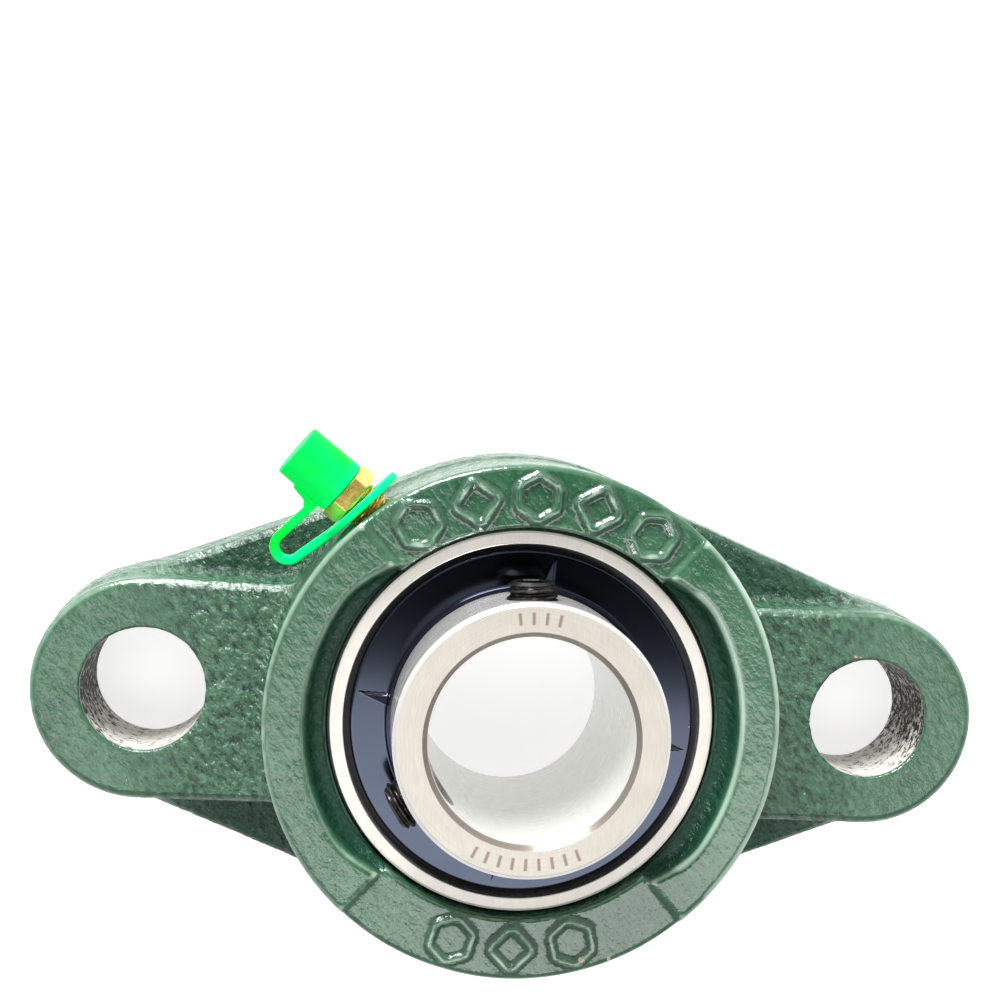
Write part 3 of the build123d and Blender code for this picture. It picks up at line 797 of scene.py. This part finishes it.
def make_housing():
    """The CAD housing remeshed evenly, drawn onto the smooth casting and given its sand texture."""
    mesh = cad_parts["housing"].data.copy()
    obj = link("casting", mesh)
    remesh = obj.modifiers.new("even", "REMESH")
    remesh.mode = "VOXEL"
    remesh.voxel_size = 0.32 * MM
    apply_modifiers(obj)
    mesh = obj.data
    count = len(mesh.vertices)
    flat = np.empty(count * 3, np.float32)
    mesh.vertices.foreach_get("co", flat)
    p = flat.reshape(-1, 3).astype(float) / MM
    pairs = np.empty(len(mesh.edges) * 2, np.int32)
    mesh.edges.foreach_get("vertices", pairs)
    a, b = pairs.reshape(-1, 2).T
    degree = np.maximum(np.bincount(np.concatenate((a, b)), minlength=count), 1)[:, None]

    def neighbours(values):
        total = np.zeros_like(values)
        np.add.at(total, a, values[b])
        np.add.at(total, b, values[a])
        return total / degree

    for turn in range(6):
        n = slope_of(p)
        p -= n * np.clip(housing_distance(p), -0.8, 0.8)[:, None]
        if turn < 5:
            drift = neighbours(p) - p
            drift -= n * np.sum(drift * n, axis=1, keepdims=True)
            p += 0.5 * drift
    n = slope_of(p)
    bend = np.sum((p - neighbours(neighbours(p))) * n, axis=1) / 0.1
    for _ in range(3):
        bend = 0.5 * bend + 0.5 * neighbours(bend[:, None])[:, 0]
    hole = np.hypot(np.abs(p[:, 0]) - EAR_X, p[:, 1])
    bend = np.where(hole < BOLT_R + 1, np.minimum(bend, 0), bend)
    rough, bare, recess = regions(p)
    relief = peened(p)
    calm = 1 - 0.8 * ramp(bend, 0.15, 0.5)
    p += n * (relief * rough * calm + 0.025 * lumps.at(p, 4.0) * (1 - bare))[:, None]
    mesh.vertices.foreach_set("co", (p * MM).astype(np.float32).ravel())
    store(mesh, "rough", rough)
    store(mesh, "bare", bare)
    store(mesh, "edge", np.clip(bend, -1, 1))
    store(mesh, "recess", recess)
    mesh.shade_smooth()
    mesh.update()
    adopt(obj, "housing", "housing_paint", paint, "housing")


make_housing()


# ---------------------------------------------------------------- bearing insert
PITCH_R = 19.25
BALL_R = 3.969
RACE_R = 4.06
BALLS = 9
SCREW_Z = 30.8
SCREW_HOLE_R = 3.2
THREAD_PITCH = 0.907
SCREW_ANGLES = {"set_screw_top": 92.0, "set_screw_side": 212.0}


def arc_points(centre, radius, start, end, steps):
    """Points on an arc in a radius and height section, between two angles in degrees."""
    out = []
    for i in range(steps + 1):
        a = math.radians(start + (end - start) * i / steps)
        out.append((centre[0] + radius * math.cos(a), centre[1] + radius * math.sin(a)))
    return out


def make_outer_ring():
    face_angle = math.degrees(math.asin(8.44 / 25.98))
    crown = arc_points((0, 0), 25.98, -face_angle, face_angle, 40)
    race_in = PITCH_R + BALL_R + 0.03 - RACE_R
    reach = math.degrees(math.acos((21.3 - race_in) / RACE_R))
    race = arc_points((race_in, 0), RACE_R, reach, -reach, 16)
    upper = [(22.9, 8.5), (22.9, 6.1), (23.2, 6.1), (23.2, 5.6), (22.9, 5.6), (22.9, 5.4), (21.3, 5.4)]
    lower = [(r, -z) for r, z in reversed(upper)]
    points = crown + [(24.3, 8.5)] + upper + race + lower + [(24.3, -8.5)]
    corners = [0.08, 0.15] + [0.04] * 6
    radii = [0.0] * len(crown) + corners + [0.0] * len(race) + corners[::-1]
    ring = lathe("outer_race", rounded(points, radii, 4), segments=288)
    adopt(ring, "insert_outer", "ring_steel", steel_ring, "outer_ring")


def make_inner_ring():
    race_out = PITCH_R - BALL_R - 0.03 + RACE_R
    reach = math.degrees(math.acos((race_out - COLLAR_R) / RACE_R))
    race = arc_points((race_out, 0), RACE_R, 180 + reach, 180 - reach, 16)
    points = [(BORE_R, -13.6), (13.4, -14.3), (16.45, -14.3), (COLLAR_R, -13.8)]
    points += race
    points += [(COLLAR_R, 19.3), (16.45, 19.8), (13.35, 19.8), (BORE_R, 19.15)]
    radii = [0.1, 0.1, 0.12, 0.12] + [0.0] * len(race) + [0.18, 0.18, 0.1, 0.1]
    ring = lathe("inner_race", rounded(points, radii, 5), segments=288)
    for angle in SCREW_ANGLES.values():
        place = frame_at(SCREW_Z * Vector((0, 0, 1)), heading(angle), heading(angle + 90))
        hole = [(0, 5), (SCREW_HOLE_R, 5), (SCREW_HOLE_R, COLLAR_R - 0.35)]
        hole += [(SCREW_HOLE_R + 0.5, COLLAR_R + 0.15), (SCREW_HOLE_R + 0.5, 20), (0, 20)]
        cut(ring, lathe("hole", hole, place, 96))
    ring.data.shade_smooth()
    ring.data.set_sharp_from_angle(angle=math.radians(30))
    adopt(ring, "insert_inner", "ring_steel", steel_collar, "inner_ring")


DIMPLE_ROOT = 17.3
DIMPLE_LEN = 4.1
DIMPLE_H = 0.45
DIMPLE_WIDE = 1.1
DIMPLE_NARROW = 0.45
DIMPLE_TURN = 82.0


def dimple(x, y):
    """Height of the four pressed drive dimples at a point of the slinger's face."""
    height = 0.0
    for quarter in range(4):
        a = math.radians(DIMPLE_TURN + 90 * quarter)
        along = (x * math.cos(a) + y * math.sin(a) - DIMPLE_ROOT) / DIMPLE_LEN
        side = y * math.cos(a) - x * math.sin(a)
        if along >= 1 or along < -0.2:
            continue
        share = 1 - max(along, 0)
        ridge = -0.5 * DIMPLE_NARROW * share
        if side > ridge:
            rise = 1 - (side - ridge) / ((DIMPLE_WIDE + 0.5 * DIMPLE_NARROW) * share)
        else:
            rise = 1 - (ridge - side) / (0.5 * DIMPLE_NARROW * share)
        height = max(height, DIMPLE_H * share * rise)
    return height


def make_slinger(name, side):
    """Pressed disc with a rolled hub, a turned-down rim and four dimples. side is +1 or -1."""
    outer, inner, count = SLINGER_R - 0.45, 17.75, 44
    face = [(outer + (inner - outer) * i / count, 8.1) for i in range(count + 1)]
    rim = [(16.95, 6.9), (17.45, 6.9), (17.45, 7.5), (21.7, 7.5)]
    rim += [(21.7, 7.0), (22.1, 7.0), (22.1, 8.1)]
    rim = rounded(rim, [0.05, 0.05, 0.1, 0.1, 0.05, 0.05, 0.0], 3)[:-1]
    rim += arc_points((21.72, 7.72), 0.38, 0, 90, 6)
    roll = arc_points((17.3, 8.3), 0.3, -20, 115, 8)
    obj = lathe(name, rim + face + roll + [(16.98, 8.6)], Matrix(), 1080)
    for v in obj.data.vertices:
        x, y, z = v.co / MM
        if z > 8.05 and math.hypot(x, y) > 17.3:
            z += dimple(x, y)
        v.co.z = (SEAT_Z + side * z) * MM
    fix_normals(obj)
    obj.data.update()
    adopt(obj, "insert_inner", "slinger_blue", slinger_coat, name.replace("disc", "slinger"))


def threaded(place, major, minor, start, end, ends_in, tapered=True, along=10):
    """Solid screw thread along the Z of a place, tapered to a radius at both ends if asked."""
    pitch, around = THREAD_PITCH, 96
    points, faces = [], []
    rows = int((end - start) / pitch * along) + 1
    for row in range(rows + 1):
        s = start + (end - start) * row / rows
        for k in range(around):
            a = 2 * math.pi * k / around
            turn = (s / pitch - k / around) % 1.0
            crest = min(max(1.25 - 3.0 * abs(turn - 0.5), 0), 0.95) / 0.95
            r = minor + (major - minor) * crest
            limit = min(s - start, end - s) * 1.2 + ends_in
            r = min(r, max(limit, ends_in)) if tapered else r
            points.append(place @ Vector((r * math.cos(a), r * math.sin(a), s)))
    for row in range(rows):
        for k in range(around):
            n = (k + 1) % around
            low, high = row * around, (row + 1) * around
            faces.append((low + k, low + n, high + n, high + k))
    first, last = len(points), len(points) + 1
    points += [place @ Vector((0, 0, start)), place @ Vector((0, 0, end))]
    top = rows * around
    for k in range(around):
        n = (k + 1) % around
        faces.append((first, n, k))
        faces.append((last, top + k, top + n))
    obj = mesh_from("thread", points, faces, 30)
    fix_normals(obj)
    return obj


def make_screw(name, angle):
    place = frame_at(SCREW_Z * Vector((0, 0, 1)), heading(angle), heading(angle + 90))
    tip, end = 13.45, 18.95
    obj = threaded(place, 3.12, 2.72, tip, end, 2.45)
    obj.name = name
    flat_r = 0.5 * 3.175 / math.cos(math.radians(30))
    socket = [(0, end - 2.9), (flat_r, end - 2.3), (flat_r, end - 0.18)]
    socket += [(flat_r + 0.3, end + 0.12), (flat_r + 0.3, end + 1), (0, end + 1)]
    cut(obj, lathe("socket", socket, place, 6, 10))
    cup = [(0, tip + 0.75), (1.3, tip), (1.5, tip - 0.3), (0, tip - 0.3)]
    cut(obj, lathe("cup", cup, place, 64))
    obj.data.shade_smooth()
    obj.data.set_sharp_from_angle(angle=math.radians(30))
    adopt(obj, name, "screw_black", steel_black, name)


def make_ball(number):
    mesh = bpy.data.meshes.new("ball")
    work = bmesh.new()
    bmesh.ops.create_uvsphere(work, u_segments=48, v_segments=32, radius=BALL_R * MM)
    work.to_mesh(mesh)
    work.free()
    mesh.shade_smooth()
    obj = link("bearing_ball_" + str(number + 1), mesh)
    place = PITCH_R * heading(number * 360 / BALLS) + Vector((0, 0, SEAT_Z))
    mesh.transform(Matrix.Translation(place * MM))
    node = "ball_" + str(number + 1)
    adopt(obj, node, "ball_steel", steel_ball, node)


def make_seal(side, place):
    """Steel core and rubber lip of a seal. side is +1 or -1."""
    core = [(18.4, 5.6 * side), (23.2, 5.6 * side), (23.2, 6.1 * side), (18.4, 6.1 * side)]
    obj = lathe("seal_disc_" + place, rounded(core, 0.08, 3))
    adopt(obj, "insert_outer", "seal_steel", steel_seal, "seal_" + place + "_core")
    lip = [(18.4, 5.6), (18.4, 6.1), (20.2, 6.1), (20.2, 6.5)]
    lip += [(18.0, 6.5), (17.02, 6.2), (17.02, 5.95), (17.9, 5.6)]
    lip = [(r, z * side) for r, z in lip]
    obj = lathe("seal_edge_" + place, rounded(lip, [0.0, 0.0, 0.0, 0.12, 0.12, 0.05, 0.05, 0.1], 3))
    adopt(obj, "insert_outer", "seal_rubber", rubber, "seal_" + place + "_lip")


make_outer_ring()
make_inner_ring()
make_slinger("disc_front", 1)
make_slinger("disc_rear", -1)
for piece, turn in SCREW_ANGLES.items():
    make_screw(piece, turn)
for number in range(BALLS):
    make_ball(number)
make_seal(1, "front")
make_seal(-1, "rear")


# ---------------------------------------------------------------- grease fitting, cap and strap
HEX_LOW = 2.35
HEX_TOP = 4.6
HEX_FLAT = 7.0
HEX_TURN = math.radians(4)
CAP_LOW = 4.68
CAP_HIGH = 12.28
TETHER_OUT = 1.28
TETHER_HEADING = 136.0
TETHER_RISE = -1.0
tether_origin = fitting @ Vector((0, 0, TETHER_OUT))
tether_axis = heading(TETHER_HEADING, TETHER_RISE)
tether = frame_at(tether_origin, tether_axis, heading(TETHER_HEADING + 90))


def merge(name, *objs):
    """One mesh from several objects."""
    work = bmesh.new()
    for obj in objs:
        work.from_mesh(obj.data)
        bpy.data.objects.remove(obj)
    mesh = bpy.data.meshes.new(name)
    work.to_mesh(mesh)
    work.free()
    return link(name, mesh)


def fuse(obj):
    """Melt a mesh of overlapping solids into one moulded skin with soft inside corners."""
    remesh = obj.modifiers.new("fuse", "REMESH")
    remesh.mode = "VOXEL"
    remesh.voxel_size = MOULD_VOXEL * MM
    smooth = obj.modifiers.new("soften", "SMOOTH")
    smooth.factor = 0.5
    smooth.iterations = 3
    apply_modifiers(obj)
    obj.data.shade_smooth()


def ribbon(name, path, width, thick, place):
    """Strap of rounded rectangular section along a path in the X and Z of a place."""
    half_w, half_t, corner = width / 2, thick / 2, 0.3
    section = []
    for cx, cy, start in ((1, 1, 0), (-1, 1, 90), (-1, -1, 180), (1, -1, 270)):
        section += arc_points((cx * (half_w - corner), cy * (half_t - corner)), corner, start, start + 90, 4)
    points, faces = [], []
    for i, here in enumerate(path):
        before, after = path[max(i - 1, 0)], path[min(i + 1, len(path) - 1)]
        along = (Vector(after) - Vector(before)).normalized()
        normal = Vector((-along.y, along.x))
        for w, t in section:
            x = here[0] + normal.x * t
            z = here[1] + normal.y * t
            points.append(place @ Vector((x, w, z)))
    count = len(section)
    for i in range(len(path) - 1):
        for k in range(count):
            n = (k + 1) % count
            faces.append((i * count + k, i * count + n, (i + 1) * count + n, (i + 1) * count + k))
    faces.append(tuple(range(count)))
    faces.append(tuple(reversed(range((len(path) - 1) * count, len(path) * count))))
    obj = mesh_from(name, points, faces, 35)
    fix_normals(obj)
    return obj


def make_nipple():
    thread = threaded(fitting, 2.93, 2.5, -5, 2.4, 2.3, False, 12)
    hex_r = HEX_FLAT / 2 / math.cos(math.radians(30))
    block = [(0, HEX_LOW), (hex_r, HEX_LOW), (hex_r, HEX_TOP), (0, HEX_TOP)]
    hexagon = lathe("hexagon", block, fitting @ Matrix.Rotation(HEX_TURN, 4, "Z"), 6, 10)
    bevel = hexagon.modifiers.new("bevel", "BEVEL")
    bevel.width = 0.12 * MM
    bevel.segments = 3
    apply_modifiers(hexagon)
    cone = [(0, HEX_LOW - 1), (3.5, HEX_LOW), (4.1, HEX_LOW + 0.45)]
    cone += [(4.1, HEX_TOP - 0.2), (3.7, HEX_TOP), (0, HEX_TOP + 1)]
    trim = hexagon.modifiers.new("trim", "BOOLEAN")
    trim.operation = "INTERSECT"
    trim.solver = "EXACT"
    tool = lathe("cone", cone, fitting, 192)
    trim.object = tool
    apply_modifiers(hexagon)
    bpy.data.objects.remove(tool)
    hexagon.data.shade_smooth()
    hexagon.data.set_sharp_from_angle(angle=math.radians(20))
    head = [(0, 4.3), (2.75, 4.3), (2.75, 4.6), (2.35, 5.0), (2.35, 6.4), (3.2, 7.6), (3.2, 8.8)]
    head += [(1.45, 11.0), (0.75, 11.0), (0.75, 10.7), (1.15, 10.7), (1.15, 5.8), (0, 5.8)]
    radii = [0, 0.1, 0.1, 0.2, 0.3, 0.3, 0.3, 0.15, 0.05, 0, 0, 0, 0]
    nozzle = lathe("nozzle", rounded(head, radii, 4), fitting, 128)
    obj = merge("fitting_body", thread, hexagon, nozzle)
    obj.data.shade_smooth()
    obj.data.set_sharp_from_angle(angle=math.radians(25))
    adopt(obj, "housing", "fitting_brass", brass, "grease_nipple_body")


STRAP_LOW = 0.7
STRAP_R = 1.8
STRAP_X = 10.4
STRAP_UP = STRAP_LOW + 2 * STRAP_R
MOULD_VOXEL = 0.1


def make_cap():
    wall = [(3.26, CAP_LOW), (3.7, CAP_LOW), (3.56, CAP_HIGH - 0.02)]
    wall += [(0, CAP_HIGH - 0.02), (0, CAP_HIGH - 0.9), (3.26, CAP_HIGH - 0.9)]
    shell = lathe("shell", rounded(wall, [0.1, 0.12, 0.25, 0, 0, 0.3], 4), fitting, 192)
    lean = math.tan(math.radians(FITTING_HEADING - TETHER_HEADING))
    low, high = STRAP_UP - 0.58, STRAP_UP + 3.35
    side = [(3.42 + lean * low, low), (5.58, low), (5.58, STRAP_UP + 0.58)]
    side += [(4.9, STRAP_UP + 1.3), (3.95 + lean * high, high), (3.42 + lean * high, high)]
    half = 1.28
    points = [tether @ Vector((x, s * half, z)) for s in (-1, 1) for x, z in side]
    count = len(side)
    faces = [tuple(range(count)), tuple(range(2 * count - 1, count - 1, -1))]
    faces += [(k, (k + 1) % count, (k + 1) % count + count, k + count) for k in range(count)]
    lug = mesh_from("lug", points, faces, 0)
    fix_normals(lug)
    cap = merge("cap_moulding", shell, lug)
    fuse(cap)
    adopt(cap, "cap", "cap_green", plastic, "grease_cap")


def make_strap():
    ring = rounded([(3.37, -0.49), (5.93, -0.49), (5.93, 0.49), (3.37, 0.49)], 0.22, 4)
    plate = lathe("plate", ring, tether, 192)
    path = [(4.6, 0.0), (6.0, 0.12), (7.5, 0.32), (9.0, 0.54)]
    path += arc_points((STRAP_X, STRAP_LOW + STRAP_R), STRAP_R, -90, 90, 28)
    path += [(8.8, STRAP_UP), (7.2, STRAP_UP), (5.62, STRAP_UP)]
    strap = merge("strap_moulding", plate, ribbon("ribbon", path, 2.56, 1.18, tether))
    fuse(strap)
    adopt(strap, None, "cap_green", plastic, "cap_strap")
    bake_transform(strap)


CHECK_BALL_OUT = 10.009
CHECK_BALL_R = 1.0
SPRING_R = 0.8
SPRING_WIRE_R = 0.13
SPRING_LOW = 5.93
SPRING_HIGH = CHECK_BALL_OUT - CHECK_BALL_R - SPRING_WIRE_R


def make_spring():
    """The valve's compression spring, wound up to the check ball."""
    turns, steps, sides = 5, 240, 14
    points = []
    for k in range(steps + 1):
        turn = math.tau * turns * k / steps
        outward = Vector((math.cos(turn), math.sin(turn), 0))
        height = SPRING_LOW + (SPRING_HIGH - SPRING_LOW) * k / steps
        middle = SPRING_R * outward + Vector((0, 0, height))
        for a in range(sides):
            side = math.tau * a / sides
            spoke = math.cos(side) * outward + Vector((0, 0, math.sin(side)))
            points.append(fitting @ (middle + SPRING_WIRE_R * spoke))
    faces = [tuple(range(sides)), tuple(range(steps * sides + sides - 1, steps * sides - 1, -1))]
    for k in range(steps):
        for a in range(sides):
            b = (a + 1) % sides
            faces.append((k * sides + a, (k + 1) * sides + a, (k + 1) * sides + b, k * sides + b))
    spring = mesh_from("check_spring", points, faces, 60)
    fix_normals(spring)
    adopt(spring, None, "cage_steel", steel_sheet, "grease_check_spring")
    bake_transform(spring)


make_nipple()
make_cap()
make_strap()
make_spring()

# inner pieces that keep their CAD meshes
kept = {name: steel_sheet for name in ("cage_front_half", "cage_rear_half", "cage_rivets")}
kept["grease_check_ball"] = steel_ball
for name, material in kept.items():
    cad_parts[name].data.materials.clear()
    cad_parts[name].data.materials.append(material)


# ---------------------------------------------------------------- floor and the last steps
def make_floor():
    mesh = bpy.data.meshes.new("floor")
    half = 1.5
    corners = [(-half, -half, 0), (half, -half, 0), (half, half, 0), (-half, half, 0)]
    mesh.from_pydata(corners, [], [(0, 1, 2, 3)])
    floor = link("floor", mesh)
    floor.data.materials.append(floor_white())


make_floor()
